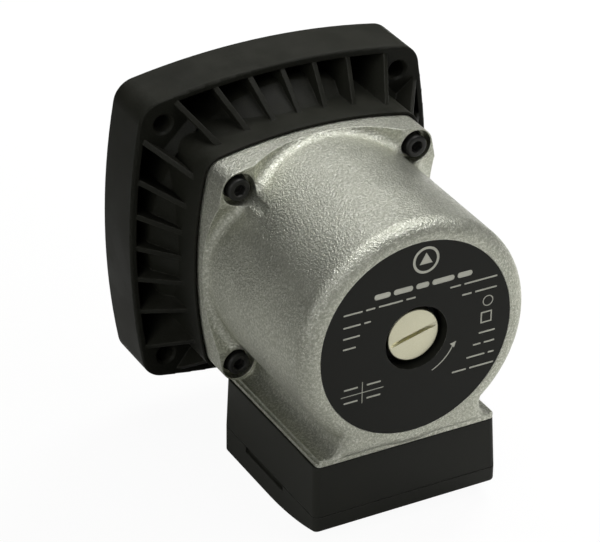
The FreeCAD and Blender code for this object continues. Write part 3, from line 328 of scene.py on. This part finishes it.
finishes = {
    "black_moulding": dict(tone=(0.0056, 0.0059, 0.0042), otherTone=(0.0082, 0.0085, 0.0062),
                           fleckTone=(0.03, 0.03, 0.025), fleckShare=0.25, edgeTone=(0.05, 0.05, 0.042),
                           edgeAmount=0.35, gloss=(0.40, 0.52), grains=2400.0, bump=0.25, depth=0.00008,
                           specular=0.08, dust=0.015, edgeReach=0.0007),
    "box_plastic": dict(tone=(0.0105, 0.0109, 0.0084), otherTone=(0.0135, 0.0139, 0.0108),
                        fleckTone=(0.03, 0.03, 0.026), fleckShare=0.2, edgeTone=(0.05, 0.05, 0.044),
                        edgeAmount=0.3, gloss=(0.42, 0.50), grains=3000.0, bump=0.18, depth=0.00006,
                        specular=0.22, dust=0.02),
    "cast_aluminium": dict(tone=(0.45, 0.46, 0.385), otherTone=(0.53, 0.54, 0.455),
                           fleckTone=(0.98, 0.98, 0.90), fleckShare=0.60, edgeTone=(0.88, 0.89, 0.80),
                           edgeAmount=0.6, gloss=(0.44, 0.50), fleckGloss=-0.14, grains=1150.0, bump=1.0,
                           depth=0.0006, metal=1.0, dust=0.05, dustTone=(0.36, 0.35, 0.30), patches=45.0),
    "black_steel": dict(tone=(0.016, 0.016, 0.015), otherTone=(0.024, 0.024, 0.022),
                        fleckTone=(0.05, 0.05, 0.048), edgeTone=(0.16, 0.155, 0.14), edgeAmount=0.7,
                        gloss=(0.30, 0.42), grains=3500.0, bump=0.15, depth=0.00004, metal=0.6,
                        edgeReach=0.0003),
    "zinc_steel": dict(tone=(0.58, 0.59, 0.56), otherTone=(0.66, 0.66, 0.62), fleckTone=(0.8, 0.8, 0.76),
                       edgeTone=(0.85, 0.85, 0.82), gloss=(0.25, 0.38), grains=3500.0, bump=0.12,
                       depth=0.00004, metal=1.0, edgeReach=0.0003),
    "brass": dict(tone=(0.62, 0.43, 0.17), otherTone=(0.70, 0.50, 0.22), fleckTone=(0.85, 0.66, 0.34),
                  edgeTone=(0.9, 0.72, 0.4), gloss=(0.24, 0.36), grains=3500.0, bump=0.12, depth=0.00004,
                  metal=1.0, edgeReach=0.0003),
    "seal_rubber": dict(tone=(0.009, 0.009, 0.009), otherTone=(0.013, 0.013, 0.013),
                        fleckTone=(0.04, 0.04, 0.04), edgeTone=(0.03, 0.03, 0.03), gloss=(0.55, 0.68),
                        grains=3000.0, bump=0.2, depth=0.00006, specular=0.4, dust=0.06),
    "lamination_steel": dict(tone=(0.20, 0.20, 0.21), otherTone=(0.27, 0.27, 0.27),
                             fleckTone=(0.4, 0.4, 0.4), edgeTone=(0.5, 0.5, 0.5), gloss=(0.35, 0.5),
                             grains=2500.0, bump=0.3, depth=0.00008, metal=1.0),
    "copper_wire": dict(tone=(0.50, 0.19, 0.07), otherTone=(0.62, 0.26, 0.10),
                        fleckTone=(0.85, 0.42, 0.2), edgeTone=(0.8, 0.4, 0.2), gloss=(0.2, 0.34),
                        grains=2200.0, bump=0.6, depth=0.0002, metal=1.0, coat=0.5),
    "slot_insulation": dict(tone=(0.66, 0.62, 0.48), otherTone=(0.72, 0.69, 0.56),
                            fleckTone=(0.8, 0.78, 0.7), edgeTone=(0.8, 0.78, 0.7), gloss=(0.4, 0.5),
                            grains=1800.0, bump=0.15, depth=0.00006),
    "stainless_steel": dict(tone=(0.55, 0.55, 0.53), otherTone=(0.62, 0.62, 0.60),
                            fleckTone=(0.8, 0.8, 0.78), edgeTone=(0.85, 0.85, 0.83), gloss=(0.20, 0.32),
                            grains=4000.0, bump=0.1, depth=0.00003, metal=1.0, edgeReach=0.0003),
    "ceramic": dict(tone=(0.74, 0.71, 0.63), otherTone=(0.79, 0.76, 0.69), fleckTone=(0.85, 0.84, 0.8),
                    edgeTone=(0.85, 0.84, 0.8), gloss=(0.15, 0.25), grains=3000.0, bump=0.05,
                    depth=0.00003),
    "carbon": dict(tone=(0.03, 0.03, 0.033), otherTone=(0.045, 0.045, 0.048), fleckTone=(0.1, 0.1, 0.1),
                   edgeTone=(0.09, 0.09, 0.09), gloss=(0.3, 0.4), grains=3000.0, bump=0.1, depth=0.00005),
    "cage_aluminium": dict(tone=(0.55, 0.55, 0.55), otherTone=(0.62, 0.62, 0.62),
                           fleckTone=(0.8, 0.8, 0.8), edgeTone=(0.8, 0.8, 0.8), gloss=(0.35, 0.45),
                           grains=2500.0, bump=0.2, depth=0.00008, metal=1.0),
    "impeller_composite": dict(tone=(0.52, 0.49, 0.38), otherTone=(0.58, 0.55, 0.44),
                               fleckTone=(0.7, 0.68, 0.58), edgeTone=(0.7, 0.68, 0.6), gloss=(0.38, 0.48),
                               grains=2200.0, bump=0.2, depth=0.00008),
    "nameplate_black": dict(tone=(0.0078, 0.0081, 0.0063), otherTone=(0.0096, 0.0099, 0.0079),
                            fleckTone=(0.02, 0.02, 0.017), fleckShare=0.15, edgeTone=(0.30, 0.30, 0.27),
                            edgeAmount=0.5, edgeReach=0.00015, gloss=(0.36, 0.42), grains=4000.0,
                            bump=0.06, depth=0.00003, specular=0.18),
    "nickel_plating": dict(tone=(0.68, 0.655, 0.48), otherTone=(0.74, 0.715, 0.54),
                           fleckTone=(0.9, 0.88, 0.75), edgeTone=(0.95, 0.93, 0.84), gloss=(0.30, 0.38),
                           grains=3500.0, bump=0.1, depth=0.00004, metal=1.0, edgeReach=0.0003),
    "terminal_plastic": dict(tone=(0.56, 0.56, 0.53), otherTone=(0.61, 0.61, 0.58),
                             fleckTone=(0.7, 0.7, 0.68), edgeTone=(0.72, 0.72, 0.7), gloss=(0.35, 0.45),
                             grains=2500.0, bump=0.12, depth=0.00006),
    "capacitor_case": dict(tone=(0.70, 0.70, 0.67), otherTone=(0.74, 0.74, 0.71),
                           fleckTone=(0.8, 0.8, 0.78), edgeTone=(0.8, 0.8, 0.78), gloss=(0.2, 0.3),
                           grains=2500.0, bump=0.05, depth=0.00004),
    "lead_insulation": dict(tone=(0.03, 0.05, 0.22), otherTone=(0.045, 0.07, 0.27),
                            fleckTone=(0.12, 0.15, 0.35), edgeTone=(0.15, 0.18, 0.4), gloss=(0.4, 0.5),
                            grains=3000.0, bump=0.1, depth=0.00005),
}
materials = {name: buildFinish(name, look) for name, look in finishes.items()}
inkLook = dict(tone=(0.52, 0.52, 0.45), otherTone=(0.58, 0.58, 0.50), fleckTone=(0.3, 0.3, 0.26),
               fleckShare=0.3, edgeTone=(0.6, 0.6, 0.54), edgeAmount=0.0, gloss=(0.5, 0.6),
               grains=5000.0, bump=0.05, depth=0.00002)
plateInk = buildFinish("plateInk", inkLook)

nodeSlots = {row["node"]: row["material_slot"] for row in frame["record"]["subparts"]}
for name, node in nodes.items():
    node.data.materials.clear()
    node.data.materials.append(materials[nodeSlots[name]])
print("finishes placed:", len(materials))


def finishPiece(piece, name, body, slotName, material=None):
    piece.name = name
    piece.data.name = name
    piece.data.materials.clear()
    piece.data.materials.append(material or materials[slotName])
    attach(piece, body)
    return piece


capScrew = {"headRadius": 4.25, "headHeight": 5.0, "topRound": 0.95, "roundSteps": 4, "socketAcross": 4.0,
            "socketDepth": 2.7, "socketBevel": 0.35, "knurlLow": 0.5, "knurlHigh": 3.7, "knurlRun": 0.25,
            "flutes": 54, "fluteDepth": 0.13, "shankRadius": 2.45, "shankLength": 8.0,
            "turns": (8, 33, 51, 20)}


def buildCapScrew(size):
    radius, height = size["headRadius"] * mm, size["headHeight"] * mm
    screw = addCylinder(radius, 0, height, sides=size["flutes"] * 2)
    startEdit(screw)
    pickEdges(screw, lambda a, b: near(a.z, height) and near(b.z, height))
    bpy.ops.mesh.bevel(offset=size["topRound"] * mm, segments=size["roundSteps"], affect="EDGES")
    for level in (size["knurlLow"], size["knurlLow"] + size["knurlRun"],
                  size["knurlHigh"] - size["knurlRun"], size["knurlHigh"]):
        bpy.ops.mesh.select_all(action="SELECT")
        bpy.ops.mesh.bisect(plane_co=(0, 0, level * mm), plane_no=(0, 0, 1))
    step = math.pi / size["flutes"]
    grooveRows = (size["knurlLow"] + size["knurlRun"], size["knurlHigh"] - size["knurlRun"])
    pickVerts(screw, lambda co: any(near(co.z, row * mm) for row in grooveRows)
              and round(math.atan2(co.y, co.x) / step) % 2 == 0)
    inward = 1 - size["fluteDepth"] / size["headRadius"]
    bpy.ops.transform.resize(value=(inward, inward, 1))
    pickFaces(screw, lambda centre, normal: normal.z < -0.9)  # the shank grows from the underside
    bpy.ops.mesh.inset(thickness=(size["headRadius"] - size["shankRadius"]) * mm)
    bpy.ops.mesh.extrude_region_move(TRANSFORM_OT_translate={"value": (0, 0, -size["shankLength"] * mm)})
    objectMode()
    socket = addCylinder(size["socketAcross"] / math.sqrt(3) * mm, height - size["socketDepth"] * mm,
                         height + mm, 6)
    cutAway(screw, socket)
    mouth = size["socketAcross"] / 2 + size["socketBevel"]
    objectMode()
    bpy.ops.mesh.primitive_cone_add(vertices=48, radius1=0, radius2=2 * mouth * mm, depth=2 * mouth * mm,
                                    location=(0, 0, height))
    funnel = bpy.context.object
    bpy.ops.object.transform_apply()
    cutAway(screw, funnel)
    return screw


def placeCapScrews(size):
    low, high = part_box("housing_screws")
    pattern = buildCapScrew(size)
    reach = high.x - size["headRadius"] * mm
    seat = low.y + size["headHeight"] * mm
    corners = [(reach, reach), (-reach, reach), (-reach, -reach), (reach, -reach)]
    for number, ((x, z), turn) in enumerate(zip(corners, size["turns"]), 1):
        screw = ownCopy(pattern, f"capScrew.{number}")
        chooseOnly(screw)
        screw.rotation_euler = (0, 0, math.radians(turn))
        bpy.ops.object.transform_apply()
        lieAlongAxis(screw, x, seat, z)
        smoothOver(screw, 40)
        finishPiece(screw, f"capScrew.{number}", "root", "black_steel")
        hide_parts("housing_screws")
    bpy.data.objects.remove(pattern)


placeCapScrews(capScrew)
print("cap screws made")

ventPlug = {"headRadius": 9.85, "headThickness": 2.9, "rimRound": 0.55, "slotWidth": 1.6, "slotDepth": 1.9,
            "slotReach": 9.3, "slotAngle": 14.0, "shankRadius": 6.6, "endTaper": 0.92, "endLength": 0.6}


def buildVentPlug(size):
    low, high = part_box("vent_plug")
    face = -low.y  # how far the head's face is ahead of the mounting plane
    length = high.y - low.y
    head = addCylinder(size["headRadius"] * mm, length - size["headThickness"] * mm, length, sides=128)
    top = length
    startEdit(head)
    pickEdges(head, lambda a, b: near(a.z, top) and near(b.z, top))
    bpy.ops.mesh.bevel(offset=size["rimRound"] * mm, segments=5, affect="EDGES")
    under = length - size["headThickness"] * mm
    pickFaces(head, lambda centre, normal: normal.z < -0.9)
    bpy.ops.mesh.inset(thickness=(size["headRadius"] - size["shankRadius"]) * mm)
    bpy.ops.mesh.extrude_region_move(TRANSFORM_OT_translate={"value": (0, 0, size["endLength"] * mm - under)})
    bpy.ops.mesh.extrude_region_move(TRANSFORM_OT_translate={"value": (0, 0, -size["endLength"] * mm)})
    bpy.ops.transform.resize(value=(size["endTaper"], size["endTaper"], 1))
    objectMode()
    sawRadius = (size["slotReach"] ** 2 + size["slotDepth"] ** 2) / (2 * size["slotDepth"])
    bpy.ops.mesh.primitive_cylinder_add(vertices=160, radius=sawRadius * mm, depth=size["slotWidth"] * mm,
                                        rotation=(math.radians(90), 0, 0),
                                        location=(0, 0, top + (sawRadius - size["slotDepth"]) * mm))
    saw = bpy.context.object
    bpy.ops.object.transform_apply()
    cutAway(head, saw)
    chooseOnly(head)
    head.rotation_euler = (0, 0, math.radians(size["slotAngle"]))
    bpy.ops.object.transform_apply()
    return head, face - length


plugBody, plugBase = buildVentPlug(ventPlug)
lieAlongAxis(plugBody, 0, -plugBase, 0)
smoothOver(plugBody, 30)
finishPiece(plugBody, "ventPlug", "plug", "nickel_plating")
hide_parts("vent_plug")
print("vent plug made")

plateMarks = {
    "inkThickness": 0.05, "rowHeight": 0.62, "wordGap": 1.3,
    "crossing": 0.1,  # share by which a bar that crosses another stands higher
    "leftEdge": -28.4, "rightEdge": 31.0,
    "titleRow": {"up": 20.1, "from": -16.8, "words": (6.2, 7.4, 5.0, 8.6, 5.8), "height": 2.1, "gap": 1.2},
    "leftRows": [(16.2, (7.2, 3.6, 9.2, 3.6)), (11.4, (6.6, 2.6)), (7.1, (6.4,)), (3.0, (4.9,))],
    "rightRows": [(16.2, (4.2, 13.0)), (12.0, (3.8, 8.6)), (-5.0, (6.4,)), (-9.2, (3.0, 4.2)),
                  (-13.7, (7.2, 2.4)), (-18.0, (5.6, 9.6))],
    "emblem": {"u": 2.7, "up": 29.6, "radius": 4.6, "stroke": 0.95, "wedge": 0.62},
    "smallRing": {"u": 27.7, "up": 7.2, "radius": 1.9, "stroke": 0.35},
    "smallSquare": {"u": 27.3, "up": 0.9, "side": 4.4, "stroke": 0.5},
    "table": {"u": -20.6, "up": -15.8, "half": 8.2, "tall": 4.2, "stroke": 0.28, "word": 5.4,
              "wordOut": 4.4, "wordUp": 2.6},
    "arrow": {"radius": 16.0, "from": -66.0, "to": -24.0, "stroke": 0.4, "head": 1.43, "lean": 5.0},
}


def addBar(width, height, thick, u, up, roundEnds=True):
    objectMode()
    bpy.ops.mesh.primitive_cube_add(size=1, location=(u * mm, up * mm, thick / 2 * mm))
    bar = bpy.context.object
    bar.scale = (width * mm, height * mm, thick * mm)
    bpy.ops.object.transform_apply()
    if roundEnds:
        startEdit(bar)
        pickEdges(bar, lambda a, b: abs(a.z - b.z) > 0.5 * thick * mm)
        bpy.ops.mesh.bevel(offset=0.45 * min(width, height) * mm, segments=3, affect="EDGES")
        objectMode()
    return bar


def addRow(marks, row, up, start, height=None, gap=None):
    bars, at = [], start
    for word in row:
        bars.append(addBar(word, height or marks["rowHeight"], marks["inkThickness"], at + word / 2, up))
        at += word + (gap or marks["wordGap"])
    return bars


def rowLength(row, gap):
    return sum(row) + gap * (len(row) - 1)


def addHoop(radius, stroke, thick, u, up, sides=64, start=0.0, end=360.0):
    # a flat ring, or part of one, spun from one small block
    objectMode()
    bpy.ops.mesh.primitive_plane_add(size=1, rotation=(math.radians(90), 0, 0),
                                     location=(radius * mm, 0, thick / 2 * mm))
    hoop = bpy.context.object
    hoop.scale = (stroke * mm, thick * mm, 1)
    bpy.ops.object.transform_apply()
    chooseOnly(hoop)
    hoop.rotation_euler = (0, 0, math.radians(end))  # spin then winds back to the start
    bpy.ops.object.transform_apply()
    startEdit(hoop)
    bpy.ops.mesh.select_all(action="SELECT")
    whole = near(abs(end - start), 360, 0.01)
    bpy.ops.mesh.spin(steps=sides, angle=math.radians(end - start), center=(0, 0, 0), axis=(0, 0, 1),
                      use_auto_merge=False)
    if whole:
        bpy.ops.mesh.select_all(action="SELECT")
        bpy.ops.mesh.remove_doubles(threshold=0.002 * mm)
        inner = [f for f in bmesh.from_edit_mesh(hoop.data).faces
                 if all(near(v.co.y, 0, 1e-7) and v.co.x > 0 for v in f.verts)]
        for face in bmesh.from_edit_mesh(hoop.data).faces:
            face.select_set(face in inner)
        bmesh.update_edit_mesh(hoop.data)
        if inner:
            bpy.ops.mesh.delete(type="ONLY_FACE")
    bpy.ops.mesh.select_all(action="SELECT")
    bpy.ops.mesh.normals_make_consistent(inside=False)
    objectMode()
    chooseOnly(hoop)
    hoop.location = (u * mm, up * mm, 0)
    bpy.ops.object.transform_apply()
    return hoop


def addWedge(size, thick, u, up, turn):  # a three-sided plate
    objectMode()
    bpy.ops.mesh.primitive_cylinder_add(vertices=3, radius=size * mm, depth=thick * mm,
                                        location=(u * mm, up * mm, thick / 2 * mm),
                                        rotation=(0, 0, math.radians(turn)))
    wedge = bpy.context.object
    bpy.ops.object.transform_apply()
    return wedge


def printNameplate(marks):
    thick = marks["inkThickness"]
    title = marks["titleRow"]
    bars = addRow(marks, title["words"], title["up"], title["from"], title["height"], title["gap"])
    for up, words in marks["leftRows"]:
        bars += addRow(marks, words, up, marks["leftEdge"])
    for up, words in marks["rightRows"]:
        bars += addRow(marks, words, up, marks["rightEdge"] - rowLength(words, marks["wordGap"]))
    emblem = marks["emblem"]  # a ring round a wedge, the drawing sign for any pump
    bars.append(addHoop(emblem["radius"], emblem["stroke"], thick, emblem["u"], emblem["up"]))
    bars.append(addWedge(emblem["radius"] * emblem["wedge"], thick, emblem["u"], emblem["up"], 0))
    dot = marks["smallRing"]
    bars.append(addHoop(dot["radius"], dot["stroke"], thick, dot["u"], dot["up"], 40))
    square = marks["smallSquare"]
    half = (square["side"] - square["stroke"]) / 2
    for turn in range(4):
        du, dup = (half, 0) if turn % 2 == 0 else (0, half)
        sign = 1 if turn < 2 else -1
        size = (square["stroke"], square["side"]) if turn % 2 == 0 else (square["side"], square["stroke"])
        lift = thick * (1 + marks["crossing"] * (turn % 2))
        bars.append(addBar(*size, lift, square["u"] + sign * du, square["up"] + sign * dup, False))
    table = marks["table"]
    bars.append(addBar(2 * table["half"], table["stroke"], thick, table["u"], table["up"], False))
    crossing = thick * (1 + marks["crossing"])
    bars.append(addBar(table["stroke"], 2 * table["tall"], crossing, table["u"], table["up"], False))
    for side in (-1, 1):
        for level in (-1, 1):
            bars.append(addBar(table["word"], marks["rowHeight"], thick, table["u"] + side * table["wordOut"],
                               table["up"] + level * table["wordUp"]))
    arrow = marks["arrow"]
    bars.append(addHoop(arrow["radius"], arrow["stroke"], thick, 0, 0, 24, arrow["from"], arrow["to"]))
    tip = math.radians(arrow["to"])
    bars.append(addWedge(arrow["head"], crossing, arrow["radius"] * math.cos(tip),
                         arrow["radius"] * math.sin(tip), arrow["to"] + 90 + arrow["lean"]))
    chooseOnly(*bars)
    bpy.ops.object.join()
    sheet = bpy.context.object
    low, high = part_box("nameplate")
    lieAlongAxis(sheet, 0, low.y, 0)
    return sheet


plateSheet = printNameplate(plateMarks)
finishPiece(plateSheet, "nameplatePrint", "root", "nameplate_black", plateInk)
print("nameplate print made")

# the floor paper is painted darker towards -X and lighter towards +X: painted shade for the casing's shadow
# on the left and a painted pool of light on the right, seen mostly in the metal's reflections and bounce
stageSet = {"floorSize": 8.0, "leftShadeTone": (0.26, 0.26, 0.25), "litRightTone": (0.50, 0.50, 0.485),
            "shadeRampFrom": -0.25, "shadeRampTo": 0.20, "floorGlow": 1.02, "glowShare": 0.93,
            "worldTone": (1.0, 1.0, 0.97), "worldPower": 0.06, "paperRough": 0.9, "paperSheen": 0.1}
softLights = {  # place and aim in metres, width and height of the softbox, power in watts, seen in gloss
    "topLight": ((0.15, 0.05, 1.0), (0, -0.06, 0), 1.0, 0.8, 7.6, True),
    "backCard": ((0.20, 1.05, 0.75), (0, -0.06, 0), 1.6, 0.7, 1.7, True),
    "leftCard": ((-0.80, -0.65, 0.50), (0, -0.06, 0), 0.7, 0.5, 2.2, True),
    "shoulderCard": ((0.32, -0.60, 0.95), (0, -0.06, 0), 0.6, 0.5, 3.2, True),
    "floorLight": ((0.55, 0.35, 0.5), (0.30, 0.12, -0.075), 0.4, 0.4, 11.0, False),
    "sideFill": ((-1.1, -0.40, 0.5), (0, -0.1, -0.05), 0.9, 0.7, 7.0, False),
}


def buildFloor(stage):
    objectMode()
    bpy.ops.mesh.primitive_plane_add(size=stage["floorSize"], location=(0, 0, cadBox[0][2]))
    floor = bpy.context.object
    bpy.ops.object.transform_apply()
    floor.name = "studioFloor"
    material = bpy.data.materials.new("paleFloor")
    material.use_nodes = True
    tree = material.node_tree
    paper = tree.nodes["Principled BSDF"]
    where = tree.nodes.new("ShaderNodeTexCoord").outputs["Object"]
    split = tree.nodes.new("ShaderNodeSeparateXYZ")
    tree.links.new(where, split.inputs[0])
    # painted shade and painted light: the paper's tone ramps from the dark left tone at -X to the light right
    # tone at +X
    paintedShadeRamp = addRange(tree, split.outputs["X"], stage["shadeRampFrom"], stage["shadeRampTo"])
    tree.links.new(addMix(tree, paintedShadeRamp, stage["leftShadeTone"], stage["litRightTone"]), paper.inputs["Base Color"])
    paper.inputs["Roughness"].default_value = stage["paperRough"]
    paper.inputs["Specular IOR Level"].default_value = stage["paperSheen"]
    glow = tree.nodes.new("ShaderNodeEmission")  # whitens the paper for the eye only, so it lights nothing
    glow.inputs["Color"].default_value = (1, 1, 1, 1)
    glow.inputs["Strength"].default_value = stage["floorGlow"]
    seen = addMath(tree, "MULTIPLY", tree.nodes.new("ShaderNodeLightPath").outputs["Is Camera Ray"],
                   stage["glowShare"])
    blend = tree.nodes.new("ShaderNodeMixShader")
    tree.links.new(seen, blend.inputs[0])
    tree.links.new(paper.outputs[0], blend.inputs[1])
    tree.links.new(glow.outputs[0], blend.inputs[2])
    tree.links.new(blend.outputs[0], tree.nodes["Material Output"].inputs["Surface"])
    floor.data.materials.append(material)


def buildWorld(stage):
    world = bpy.data.worlds.new("studioWorld")
    bpy.context.scene.world = world
    world.use_nodes = True
    sky = world.node_tree.nodes["Background"]
    sky.inputs["Color"].default_value = (*stage["worldTone"], 1)
    sky.inputs["Strength"].default_value = stage["worldPower"]


def addSoftLight(name, place, aim, width, height, power, inGloss):
    light = bpy.data.lights.new(name, "AREA")
    light.shape = "RECTANGLE"
    light.size = width
    light.size_y = height
    light.energy = power
    lamp = bpy.data.objects.new(name, light)
    lamp.visible_glossy = inGloss
    bpy.context.scene.collection.objects.link(lamp)
    lamp.location = place
    lamp.rotation_euler = (Vector(aim) - Vector(place)).to_track_quat("-Z", "Y").to_euler()
    return lamp


buildFloor(stageSet)
buildWorld(stageSet)
for name, settings in softLights.items():
    addSoftLight(name, *settings)

cameraView = {"azimuth": -28.647, "elevation": 30.282, "roll": 0.737, "distance": 1098.31, "aimY": -61.2,
              "slideRight": -11.778, "slideUp": -3.471, "lens": 188.08}


def buildCamera(view):
    turn, lift, roll = (math.radians(view[key]) for key in ("azimuth", "elevation", "roll"))
    back = Vector((math.sin(turn) * math.cos(lift), -math.cos(turn) * math.cos(lift), math.sin(lift)))
    level = Vector((math.cos(turn), math.sin(turn), 0))
    upright = back.cross(level)
    right = level * math.cos(roll) + upright * math.sin(roll)
    up = upright * math.cos(roll) - level * math.sin(roll)
    aim = Vector((0, view["aimY"], 0)) + right * view["slideRight"] + up * view["slideUp"]
    stand = aim + back * view["distance"]
    lens = bpy.data.cameras.new("studioCamera")
    lens.lens = view["lens"]
    camera = bpy.data.objects.new("studioCamera", lens)
    bpy.context.scene.collection.objects.link(camera)
    camera.matrix_world = Matrix((right, up, back)).transposed().to_4x4()
    camera.location = stand * mm
    bpy.context.scene.camera = camera


buildCamera(cameraView)
bpy.context.scene.view_settings.view_transform = "Standard"
print("stage set")

objectMode()
